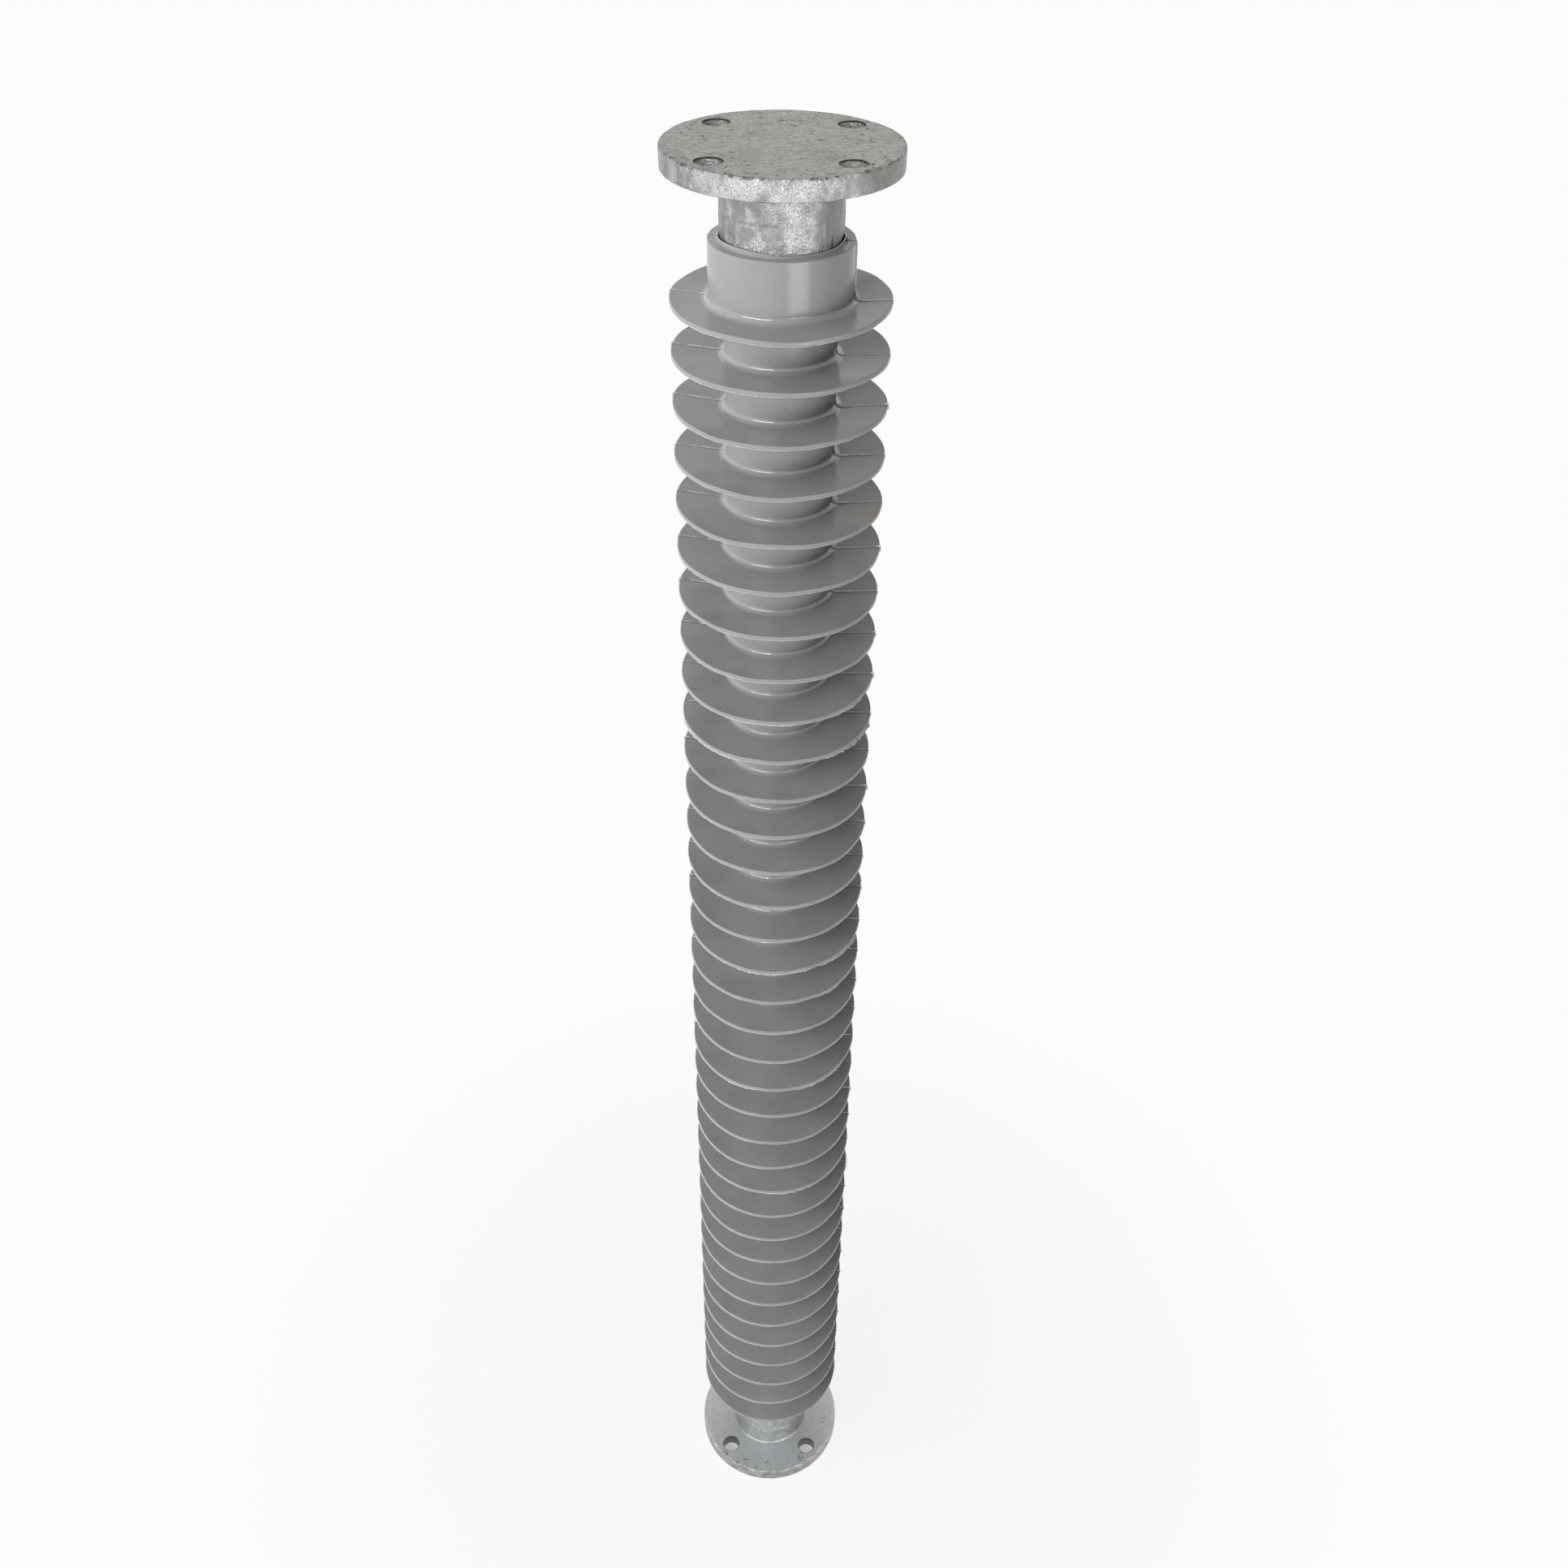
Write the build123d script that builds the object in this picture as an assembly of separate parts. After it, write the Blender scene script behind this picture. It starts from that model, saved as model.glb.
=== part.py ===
from build123d import *
import os
from math import radians, tan

# Station post insulator with a silicone rubber housing.
# The origin is the centre of the lower flange's bottom face and +Z runs along the axis.
# Lengths are in millimetres and angles in degrees.

# Whole insulator
total_height = 1500.0

# End fittings, the same at both ends
bolt_circle_diameter = 127.0
bolt_hole_diameter = 18.0
bolt_hole_count = 4
first_hole_angle = 45.0
flange_edge_distance = 16.5
flange_thickness = 15.0
flange_edge_radius = 1.2
neck_wall = 9.5
neck_root_radius = 3.0
neck_end_chamfer = 2.0
neck_under_collar = 39.5
socket_floor = 10.0

# Crimp marks on a neck: shallow die prints with a narrow rib left between each two
crimp_count = 8
crimp_depth = 0.5
crimp_rib_width = 2.4
crimp_start = 25.0
crimp_end_margin = 6.0

# Core rod
rod_diameter = 65.0
rod_end_chamfer = 1.0

# Housing
rubber_over_rod = 6.0
rubber_over_neck = 7.7
top_neck_exposed = 45.3
bottom_neck_exposed = 58.0
collar_length = 41.0
collar_edge_radius = 0.8
lip_thickness = 0.9
lip_height = 1.5
shed_pitch = 37.6
shed_overhang = 37.5
shed_rim_thickness = 3.2
shed_rim_radius = 1.0
shed_root_radius = 4.5
shed_upper_slope = 5.4
shed_lower_slope = 11.0

# Radii and lengths that follow from the sizes above
rod_radius = rod_diameter / 2
neck_radius = rod_radius + neck_wall
flange_radius = bolt_circle_diameter / 2 + flange_edge_distance
trunk_radius = rod_radius + rubber_over_rod
collar_radius = neck_radius + rubber_over_neck
lip_radius = neck_radius + lip_thickness
shed_radius = trunk_radius + shed_overhang
neck_length = top_neck_exposed + neck_under_collar


def upper_face(radius):
    """Height of a shed's upper face over its rim plane. The face rises from root to rim."""
    return shed_rim_thickness / 2 - (shed_radius - radius) * tan(radians(shed_upper_slope))


def lower_face(radius):
    """Height of a shed's lower face, the steeper one, over its rim plane."""
    return -shed_rim_thickness / 2 - (shed_radius - radius) * tan(radians(shed_lower_slope))


# Heights: the sheds are set out from the top collar, and the bottom collar takes up the rest
collar_top_z = total_height - flange_thickness - top_neck_exposed
collar_bottom_z = flange_thickness + bottom_neck_exposed
first_rim_z = collar_top_z - collar_length - upper_face(collar_radius)
lowest_rim_z = collar_bottom_z + collar_length - lower_face(collar_radius)
shed_count = int((first_rim_z - lowest_rim_z) / shed_pitch) + 1
last_rim_z = first_rim_z - (shed_count - 1) * shed_pitch
bare_trunk = shed_pitch - upper_face(trunk_radius) + lower_face(trunk_radius)
rim_round = min(shed_rim_radius, 0.45 * shed_rim_thickness)
root_round = min(shed_root_radius, 0.45 * bare_trunk)


def end_fitting():
    """Flanged fitting that stands on its outer face, with its neck pointing up."""
    flange = extrude(Circle(flange_radius), flange_thickness)
    neck = Pos(0, 0, flange_thickness) * extrude(Circle(neck_radius), neck_length)
    fitting = flange + neck
    corner = fitting.edges().filter_by(GeomType.CIRCLE).filter_by_position(
        Axis.Z, flange_thickness, flange_thickness
    ).sort_by(SortBy.RADIUS)[0]
    fitting = fillet(corner, neck_root_radius)
    rims = fitting.edges().filter_by(GeomType.CIRCLE).filter_by(
        lambda edge: abs(edge.radius - flange_radius) < 0.01
    )
    fitting = fillet(rims, flange_edge_radius)
    fitting = chamfer(fitting.edges().sort_by(Axis.Z)[-1], neck_end_chamfer)
    fitting -= crimp_prints()
    fitting -= Pos(0, 0, socket_floor) * extrude(Circle(rod_radius), flange_thickness + neck_length)
    holes = PolarLocations(bolt_circle_diameter / 2, bolt_hole_count, first_hole_angle)
    fitting -= holes * extrude(Circle(bolt_hole_diameter / 2), flange_thickness)
    return fitting


def crimp_prints():
    """Thin bands that the crimping dies press into the neck, all round but for the ribs."""
    print_length = neck_length - crimp_start - crimp_end_margin
    band = Circle(neck_radius + crimp_depth) - Circle(neck_radius - crimp_depth)
    rib = Rectangle(2 * crimp_rib_width, crimp_rib_width)
    for location in PolarLocations(neck_radius, crimp_count):
        band -= location * rib
    return Pos(0, 0, flange_thickness + crimp_start) * extrude(band, print_length)


def core_rod():
    """Round rod that ends on the floor of each fitting's socket."""
    rod_length = total_height - 2 * socket_floor
    rod = Pos(0, 0, socket_floor) * extrude(Circle(rod_radius), rod_length)
    return chamfer(rod.edges().filter_by(GeomType.CIRCLE), rod_end_chamfer)


def shed_section(lower_radius, low, upper_radius, high):
    """Half section of one shed and the rubber below and above it, with its rim plane at 0."""
    lower_root = (lower_radius, lower_face(lower_radius))
    lower_rim = (shed_radius, -shed_rim_thickness / 2)
    upper_rim = (shed_radius, shed_rim_thickness / 2)
    upper_root = (upper_radius, upper_face(upper_radius))
    low_edge = (lower_radius, low)
    high_edge = (upper_radius, high)
    outline = [(0, low), low_edge, lower_root, lower_rim, upper_rim, upper_root, high_edge, (0, high)]
    section = make_face(Polyline(*outline, close=True))
    section = round_corners(section, [lower_root, upper_root], root_round)
    section = round_corners(section, [lower_rim, upper_rim], rim_round)
    collar_edges = [edge for edge in (low_edge, high_edge) if edge[0] == collar_radius]
    return round_corners(section, collar_edges, collar_edge_radius)


def round_corners(section, corners, radius):
    """Fillet the section's corners that lie at the given points."""
    for corner in corners:
        section = fillet(section.vertices().sort_by_distance(corner)[0], radius)
    return section


def housing_blank():
    """Solid with the housing's outer form, before the rod and the necks are taken out."""
    trunk_low = lower_face(trunk_radius) - bare_trunk / 2
    trunk_high = upper_face(trunk_radius) + bare_trunk / 2
    first_shed = shed_section(trunk_radius, trunk_low, collar_radius, collar_top_z - first_rim_z)
    middle_shed = shed_section(trunk_radius, trunk_low, trunk_radius, trunk_high)
    last_shed = shed_section(collar_radius, collar_bottom_z - last_rim_z, trunk_radius, trunk_high)
    sections = [Pos(0, first_rim_z) * first_shed, Pos(0, last_rim_z) * last_shed]
    for index in range(1, shed_count - 1):
        sections.append(Pos(0, first_rim_z - index * shed_pitch) * middle_shed)
    for collar_end_z in (collar_bottom_z, collar_top_z):
        sections.append(Pos(lip_radius / 2, collar_end_z) * Rectangle(lip_radius, 2 * lip_height))
    return revolve(Plane.XZ * (sections[0] + sections[1:]), Axis.Z)


bottom_fitting = end_fitting()
top_fitting = Pos(0, 0, total_height) * Rot(180, 0, 0) * bottom_fitting
rod = core_rod()
housing = housing_blank() - rod - top_fitting - bottom_fitting

print("sheds", shed_count, "rim planes from", round(first_rim_z, 2), "down to", round(last_rim_z, 2))
os.makedirs("parts", exist_ok=True)
nodes = {
    "core_rod": rod,
    "housing": housing,
    "top_fitting": top_fitting,
    "bottom_fitting": bottom_fitting,
}
for name, shape in nodes.items():
    export_step(shape, f"parts/{name}.step")
    print(name, "volume", round(shape.volume / 1000, 1), "cm3")
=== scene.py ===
# %% [markdown]
# # A station post insulator, dressed for the camera
# It is a fibreglass rod with a steel fitting squeezed on each end, and a silicone rubber
# housing with 35 sheds moulded over both. The CAD model is loaded as a fixed frame. Every
# piece is made in its millimetres and place, and stands for the CAD solid of the same part.

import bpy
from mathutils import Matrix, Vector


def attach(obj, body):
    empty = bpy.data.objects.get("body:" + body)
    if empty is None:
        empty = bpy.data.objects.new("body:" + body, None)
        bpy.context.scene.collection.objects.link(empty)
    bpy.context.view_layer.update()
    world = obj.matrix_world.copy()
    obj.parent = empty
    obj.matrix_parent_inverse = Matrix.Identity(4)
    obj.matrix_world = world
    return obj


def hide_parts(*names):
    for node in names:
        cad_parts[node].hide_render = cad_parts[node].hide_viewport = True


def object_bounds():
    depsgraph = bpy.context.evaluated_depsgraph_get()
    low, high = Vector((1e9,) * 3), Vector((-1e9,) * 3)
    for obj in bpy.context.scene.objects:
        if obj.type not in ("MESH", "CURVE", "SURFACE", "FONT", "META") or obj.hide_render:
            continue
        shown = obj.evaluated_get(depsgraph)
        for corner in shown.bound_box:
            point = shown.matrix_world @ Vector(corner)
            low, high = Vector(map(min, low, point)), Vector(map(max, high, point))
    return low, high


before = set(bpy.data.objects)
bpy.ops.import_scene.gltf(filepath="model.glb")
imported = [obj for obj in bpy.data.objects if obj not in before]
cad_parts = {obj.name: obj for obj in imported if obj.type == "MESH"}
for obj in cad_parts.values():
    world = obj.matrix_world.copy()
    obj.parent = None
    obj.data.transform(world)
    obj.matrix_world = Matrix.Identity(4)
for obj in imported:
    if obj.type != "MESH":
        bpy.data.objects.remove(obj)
cad_low, cad_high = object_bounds()
print("CAD box from", [round(x, 4) for x in cad_low], "to", [round(x, 4) for x in cad_high])

# %% [markdown]
# Everything else uses Blender's own modules. Lengths are written as millimetres times MM,
# because the scene is in metres.

# %% Tools
import random
from math import atan2, cos, degrees, pi, radians, sin, tan

import bmesh
import bpy
from mathutils import Matrix, Vector

MM = 0.001
print("one millimetre is", MM, "scene units")

# %% [markdown]
# ## Camera
# It looks down on the insulator, which narrows towards the floor. A Track To constraint could
# aim it, but leaves no room for the small turn and roll of a camera held by hand. So it is
# set on a radius and a height, tipped down, and given its own small yaw and roll.

# %% Camera
CAMERA_RADIUS = 1029.3 * MM
CAMERA_HEIGHT = 1774.8 * MM
CAMERA_AROUND = radians(1.0)
CAMERA_DOWN = radians(37.579)
CAMERA_YAW = radians(0.294)
CAMERA_ROLL = radians(0.586)
LENS = 35.372
SENSOR_WIDTH = 36

bpy.ops.object.camera_add()
camera = bpy.context.object
camera.name = "camera"
camera.data.lens = LENS
camera.data.sensor_width = SENSOR_WIDTH
camera.data.clip_start = 0.01
camera.data.clip_end = 100
camera.matrix_world = (
    Matrix.Rotation(CAMERA_AROUND, 4, "Z")
    @ Matrix.Translation((0, -CAMERA_RADIUS, CAMERA_HEIGHT))
    @ Matrix.Rotation(pi / 2 - CAMERA_DOWN, 4, "X")
    @ Matrix.Rotation(-CAMERA_YAW, 4, "Y")
    @ Matrix.Rotation(CAMERA_ROLL, 4, "Z")
)
bpy.context.scene.camera = camera
print("camera at", [round(x, 3) for x in camera.location], "lens", round(LENS, 1))

# %% [markdown]
# ## Sizes
# These are the CAD model's own sizes. The heights come from it too: the sheds are set out
# from the collar under the top fitting, one pitch apart, and the bottom collar ends them.

# %% Sizes
TOTAL_HEIGHT = cad_high.z
BOLT_CIRCLE_RADIUS = 63.5 * MM
BOLT_HOLE_RADIUS = 9 * MM
BOLT_HOLE_COUNT = 4
FLANGE_RADIUS = 80 * MM
FLANGE_THICKNESS = 15 * MM
NECK_RADIUS = 42 * MM
NECK_LENGTH = 84.8 * MM
CRIMP_START = 25 * MM
CRIMP_END_MARGIN = 6 * MM
SOCKET_FLOOR = 10 * MM
ROD_RADIUS = 32.5 * MM

TRUNK_RADIUS = 38.5 * MM
COLLAR_RADIUS = 49.7 * MM
COLLAR_LENGTH = 41 * MM
LIP_RADIUS = 42.9 * MM
LIP_HEIGHT = 1.5 * MM
SHED_RADIUS = 76 * MM
SHED_PITCH = 37.6 * MM
RIM_THICKNESS = 3.2 * MM
UPPER_SLOPE = tan(radians(5.4))
LOWER_ANGLE = radians(11)
LOWER_SLOPE = tan(LOWER_ANGLE)

COLLAR_TOP = TOTAL_HEIGHT - 60.3 * MM
COLLAR_BOTTOM = 73 * MM


def upper_face(radius):
    """Height of a shed's upper face over its rim plane."""
    return RIM_THICKNESS / 2 - (SHED_RADIUS - radius) * UPPER_SLOPE


def lower_face(radius):
    """Height of a shed's lower face, the steeper one, over its rim plane."""
    return -RIM_THICKNESS / 2 - (SHED_RADIUS - radius) * LOWER_SLOPE


FIRST_RIM = COLLAR_TOP - COLLAR_LENGTH - upper_face(COLLAR_RADIUS)
SHED_COUNT = 35
LAST_RIM = FIRST_RIM - (SHED_COUNT - 1) * SHED_PITCH
print("rims from", round(FIRST_RIM / MM, 1), "down to", round(LAST_RIM / MM, 1), "mm")

# %% [markdown]
# ## Drawing a half section
# A round part is its half section swept round the axis. By hand one adds a plane, merges it
# to a single vertex, extrudes that from corner to corner, rounds the corners with a vertex
# bevel and spins the wire. The rounding is done on the wire, because a bevel on the finished
# shell would have to find every edge again. The wire lies in the plane of the mould's parting
# line, so that a column of the mesh is under each seam, where the flash is drawn later.

# %% Helpers for drawing
PARTING = radians(-4.5)
FRONT = radians(-90)
# Two vertices are doubles of each other, can be welded or are just near, below these distances
DOUBLE = 0.002 * MM
WELD = 0.01 * MM
NEAR = 0.1 * MM


def at(radius, height, azimuth=PARTING):
    """Point at that radius, height and direction round the axis."""
    return Vector((radius * cos(azimuth), radius * sin(azimuth), height))


def activate(*pieces):
    """Select just these pieces and make the first one active."""
    bpy.ops.object.select_all(action="DESELECT")
    for piece in pieces:
        piece.select_set(True)
    bpy.context.view_layer.objects.active = pieces[0]


def edit(piece):
    """Go into edit mode on this piece alone, with all of it selected."""
    activate(piece)
    bpy.ops.object.mode_set(mode="EDIT")
    bpy.ops.mesh.select_all(action="SELECT")


def leave():
    """Go back to object mode."""
    bpy.ops.object.mode_set(mode="OBJECT")


def clean(piece, distance=DOUBLE):
    """Merge doubles and point the normals outwards."""
    edit(piece)
    bpy.ops.mesh.remove_doubles(threshold=distance)
    bpy.ops.mesh.normals_make_consistent(inside=False)
    leave()


def select(kind, test):
    """In edit mode, select just the verts, edges or faces whose centre passes the test."""
    bpy.ops.mesh.select_mode(type={"verts": "VERT", "edges": "EDGE", "faces": "FACE"}[kind])
    bpy.ops.mesh.select_all(action="DESELECT")
    mesh = bmesh.from_edit_mesh(bpy.context.object.data)
    count = 0
    for part in getattr(mesh, kind):
        ends = [part] if kind == "verts" else part.verts
        centre = sum((end.co for end in ends), Vector()) / len(ends)
        part.select_set(bool(test(centre, part)))
        count += part.select
    mesh.select_flush_mode()
    bmesh.update_edit_mesh(bpy.context.object.data)
    return count


def draw_section(name, corners, azimuth=PARTING):
    """Wire through the corners, each a radius, a height and maybe a rounding and its steps.

    The wire is left in edit mode. A vertex bevel cuts each edge back by the reach, which a
    rounding of that radius needs at the angle between the two edges.
    """
    bpy.ops.mesh.primitive_plane_add(size=10 * MM, location=(0, 0, 0))
    piece = bpy.context.object
    piece.name = name
    edit(piece)
    bpy.ops.mesh.select_mode(type="VERT")
    bpy.ops.mesh.merge(type="CENTER")
    points = [at(radius, height, azimuth) for radius, height, *_ in corners]
    bpy.ops.transform.translate(value=points[0])
    for here, there in zip(points, points[1:]):
        bpy.ops.mesh.extrude_region_move(TRANSFORM_OT_translate={"value": there - here})
    for before, place, after, corner in zip(points, points[1:], points[2:], corners[1:]):
        if len(corner) == 4:
            reach = corner[2] / tan((before - place).angle(after - place) / 2)
            select("verts", lambda centre, _: (centre - place).length < WELD)
            bpy.ops.mesh.bevel(offset=reach, segments=corner[3], profile=0.5, affect="VERTICES")
    return piece


def spin_section(steps):
    """Sweep the edited wire once round the axis, close the seam and leave edit mode."""
    bpy.ops.mesh.select_all(action="SELECT")
    bpy.ops.mesh.spin(steps=steps, angle=2 * pi, center=(0, 0, 0), axis=(0, 0, 1))
    leave()
    clean(bpy.context.object)


def join(pieces, name):
    """One piece with the meshes of them all."""
    activate(*pieces)
    bpy.ops.object.join()
    bpy.context.object.name = name
    return bpy.context.object


def modify(piece, kind, **settings):
    """Add a modifier with these settings and apply it."""
    activate(piece)
    modifier = piece.modifiers.new(kind.lower(), kind)
    for key, value in settings.items():
        setattr(modifier, key, value)
    bpy.ops.object.modifier_apply(modifier=modifier.name)


def part_off(piece, test, name):
    """New piece with a copy of the edges of this one that pass the test."""
    edit(piece)
    select("edges", test)
    bpy.ops.mesh.duplicate()
    bpy.ops.mesh.separate(type="SELECTED")
    leave()
    copy = next(other for other in bpy.context.selected_objects if other is not piece)
    copy.name = name
    return copy


def tell(*pieces):
    """Print how many triangles each piece has."""
    for piece in pieces:
        count = sum(len(polygon.vertices) - 2 for polygon in piece.data.polygons)
        print(piece.name, "has", count, "triangles")


print("helpers ready; the parting line lies at", round(degrees(PARTING), 1), "degrees")

# %% [markdown]
# ## Housing: one shed
# The 33 sheds between the collars are alike, so one is drawn and the rest are copies. Its
# upper face rises gently to a blunt rim, its lower face is steeper, and a fillet joins each to
# the trunk. A ring halfway out on each face lets the thin disc sag later without a kink.

# %% One shed
ROUND_STEPS = 120
RIM_FOOT_ROUND = 0.8 * MM
RIM_TOP_ROUND = 0.7 * MM
ROOT_ROUND = 4.5 * MM
HALFWAY = (TRUNK_RADIUS + SHED_RADIUS) / 2
BARE_TRUNK = SHED_PITCH - upper_face(TRUNK_RADIUS) + lower_face(TRUNK_RADIUS)
SECTION_LOW = lower_face(TRUNK_RADIUS) - BARE_TRUNK / 2
SECTION_HIGH = SECTION_LOW + SHED_PITCH


def shed_corners(rim, low_root, high_root):
    """Corners of one shed from its lower root round the rim to its upper root."""
    half = RIM_THICKNESS / 2
    return [
        (low_root, rim + lower_face(low_root), ROOT_ROUND, 4),
        (HALFWAY, rim + lower_face(HALFWAY)),
        (SHED_RADIUS, rim - half, RIM_FOOT_ROUND, 3),
        (SHED_RADIUS, rim + half, RIM_TOP_ROUND, 3),
        (HALFWAY, rim + upper_face(HALFWAY)),
        (high_root, rim + upper_face(high_root), ROOT_ROUND, 4),
    ]


second_rim = FIRST_RIM - SHED_PITCH
middle_corners = [
    (TRUNK_RADIUS, second_rim + SECTION_LOW),
    *shed_corners(second_rim, TRUNK_RADIUS, TRUNK_RADIUS),
    (TRUNK_RADIUS, second_rim + SECTION_HIGH),
]
middle_sheds = draw_section("middle_sheds", middle_corners)
spin_section(ROUND_STEPS)
tell(middle_sheds)

# %% [markdown]
# The copies could be made one by one with Duplicate. An Array with a constant offset of one
# pitch does the same in one step, and its Merge option welds each copy to the next, so
# that the trunk is one unbroken tube.

# %% 33 sheds
modify(
    middle_sheds, "ARRAY", count=SHED_COUNT - 2, use_relative_offset=False,
    use_constant_offset=True, constant_offset_displace=(0, 0, -SHED_PITCH),
    use_merge_vertices=True, merge_threshold=WELD,
)
tell(middle_sheds)

# %% [markdown]
# ## Housing: the two ends
# The first and the last shed grow out of a collar that grips a fitting's neck. It ends in a
# flat face with a thin lip, where rubber was pressed along the steel. Inside, the rubber
# follows the neck, steps in under its end and meets the rod. That wall is drawn too, so
# that the shell is closed.

# %% Ends of the housing
LIP_GAP = 0.35 * MM
LIP_FOOT = 0.3 * MM
LIP_ROUND = 0.2 * MM
COLLAR_ROUND = 0.8 * MM
TOP_NECK_END = TOTAL_HEIGHT - FLANGE_THICKNESS - NECK_LENGTH
BOTTOM_NECK_END = FLANGE_THICKNESS + NECK_LENGTH


def collar_corners(end, up, neck_end):
    """Corners from a collar's outer edge over its lip and down inside to the rod."""
    return [
        (COLLAR_RADIUS, end, COLLAR_ROUND, 3),
        (LIP_RADIUS + LIP_FOOT, end),
        (LIP_RADIUS, end + up * LIP_HEIGHT, LIP_ROUND, 2),
        (NECK_RADIUS + LIP_GAP, end + up * LIP_HEIGHT),
        (NECK_RADIUS, end - up * LIP_HEIGHT),
        (NECK_RADIUS, neck_end),
        (ROD_RADIUS, neck_end),
    ]


first_corners = [
    (TRUNK_RADIUS, FIRST_RIM + SECTION_LOW),
    *shed_corners(FIRST_RIM, TRUNK_RADIUS, COLLAR_RADIUS),
    *collar_corners(COLLAR_TOP, 1, TOP_NECK_END),
]
first_shed = draw_section("first_shed", first_corners)
spin_section(ROUND_STEPS)

last_corners = [
    *reversed(collar_corners(COLLAR_BOTTOM, -1, BOTTOM_NECK_END)),
    *shed_corners(LAST_RIM, COLLAR_RADIUS, TRUNK_RADIUS),
    (TRUNK_RADIUS, LAST_RIM + SECTION_HIGH),
]
last_shed = draw_section("last_shed", last_corners)
spin_section(ROUND_STEPS)
tell(first_shed, last_shed)

# %% [markdown]
# Joined and welded, the three parts still lack the wall of the bore along the rod. Its two
# end rings are the only open edges left, so they are selected by their radius and bridged.

# %% Closed housing
housing = join([middle_sheds, first_shed, last_shed], "silicone_housing")
clean(housing, WELD)
edit(housing)
open_edges = select(
    "edges", lambda centre, edge: edge.is_boundary and centre.xy.length < ROD_RADIUS + NEAR
)
bpy.ops.mesh.bridge_edge_loops()
leave()
clean(housing)
print("bridged", open_edges, "edges")
tell(housing)

# %% [markdown]
# ## Sagging sheds
# Rubber sheds take a set in the crate and sag. By hand one would pull rims with proportional
# editing. A Displace modifier with a large soft cloud does it for all of them at once, and a
# vertex group that grows from root to rim keeps the trunk straight. The first shed hangs
# lowest at the front.

# %% Sagging sheds
SAG = 2.6 * MM
SAG_SIZE = 45 * MM
FRONT_DROOP = 3.4 * MM
DROOP_WIDTH = 1.5


def push(piece, weight, strength, **settings):
    """Displace the piece, upwards if not set otherwise, as far as the function weighs it."""
    group = piece.vertex_groups.new(name=weight.__name__)
    for vertex in piece.data.vertices:
        share = weight(vertex.co)
        if share > 0:
            group.add([vertex.index], share, "REPLACE")
    settings = {"direction": "Z", "mid_level": 0, **settings}
    modify(piece, "DISPLACE", strength=strength, vertex_group=group.name, **settings)


def clouds(name, size, depth=1):
    """Soft cloud texture for a Displace modifier."""
    texture = bpy.data.textures.new(name, "CLOUDS")
    texture.noise_scale = size
    texture.noise_depth = depth
    return texture


def overhang(point):
    """0 on the trunk and the collars, rising to 1 at the rim of a shed."""
    return max(0.0, (point.xy.length - COLLAR_RADIUS) / (SHED_RADIUS - COLLAR_RADIUS))


def front_of_first(point):
    """The overhang of the first shed, on the side that faces the front."""
    if abs(point.z - FIRST_RIM) > SHED_PITCH / 3:
        return 0.0
    return overhang(point) * max(0.0, cos(atan2(point.y, point.x) - FRONT)) ** DROOP_WIDTH


push(housing, overhang, SAG, texture=clouds("sag", SAG_SIZE), mid_level=0.5)
push(housing, front_of_first, -FRONT_DROOP)
print("rims moved by up to", round(SAG / 2 / MM, 1), "mm, the first one's front by more")

# %% [markdown]
# At the front left the rubber crept up the neck past the thin lip. Only the lip's top is
# weighted there, so a plain Displace lifts it and fades out to both sides.

# %% Smeared lip
LIP_SMEAR = 1.6 * MM
SMEAR_AZIMUTH = radians(-132)
SMEAR_NARROWNESS = 2.6
SMEAR_FULLNESS = 0.7


def smeared_lip(point):
    """The top of the upper lip at the front left, where rubber crept up the neck."""
    on_lip = point.xy.length < LIP_RADIUS + NEAR and point.z > COLLAR_TOP + LIP_HEIGHT / 2
    if not on_lip or point.y > 0:
        return 0.0
    turn = atan2(point.y, point.x) - SMEAR_AZIMUTH
    return max(0.0, cos(SMEAR_NARROWNESS * turn)) ** SMEAR_FULLNESS


push(housing, smeared_lip, LIP_SMEAR)
print("lip raised by", round(LIP_SMEAR / MM, 1), "mm")

# %% [markdown]
# ## Flash on the parting line
# Where the two halves of the mould met, rubber squeezed out and was trimmed, so a thin uneven
# bead runs over every shed on two opposite sides. It could be a bump in the material, but
# its shadow and the nubs on the rims need geometry. The column of edges under it is
# duplicated, turned into a curve and given a round bevel, whose radius then varies.

# %% Parting line
BEAD_RADIUS = 0.8 * MM
STRAIGHT_CUTS = 5
LONG_EDGE = 8 * MM
parting_normal = Vector((-sin(PARTING), cos(PARTING), 0))


def on_parting_line(centre, _):
    """An edge of the outer surface that lies in the plane of the parting line."""
    skin = LIP_RADIUS if not TOP_NECK_END > centre.z > BOTTOM_NECK_END else TRUNK_RADIUS
    return abs(centre.dot(parting_normal)) < DOUBLE / 2 and centre.xy.length > skin - NEAR


bead = part_off(housing, on_parting_line, "parting_flash")
edit(bead)
select("edges", lambda _, edge: edge.calc_length() > LONG_EDGE)
bpy.ops.mesh.subdivide(number_cuts=STRAIGHT_CUTS)
leave()
bpy.ops.object.convert(target="CURVE")
print("flash runs down", [len(run.points) for run in bead.data.splines], "points")

# %% [markdown]
# The bead is fattest in the fillets, where the mould closed last, thins out along the
# faces, breaks off in places and ends in a nub on most rims. On the right side it was
# trimmed less closely. Flash is a fin and not a cord, so at the end the round bead is
# pressed flatter, towards the plane of the parting line.

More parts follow.
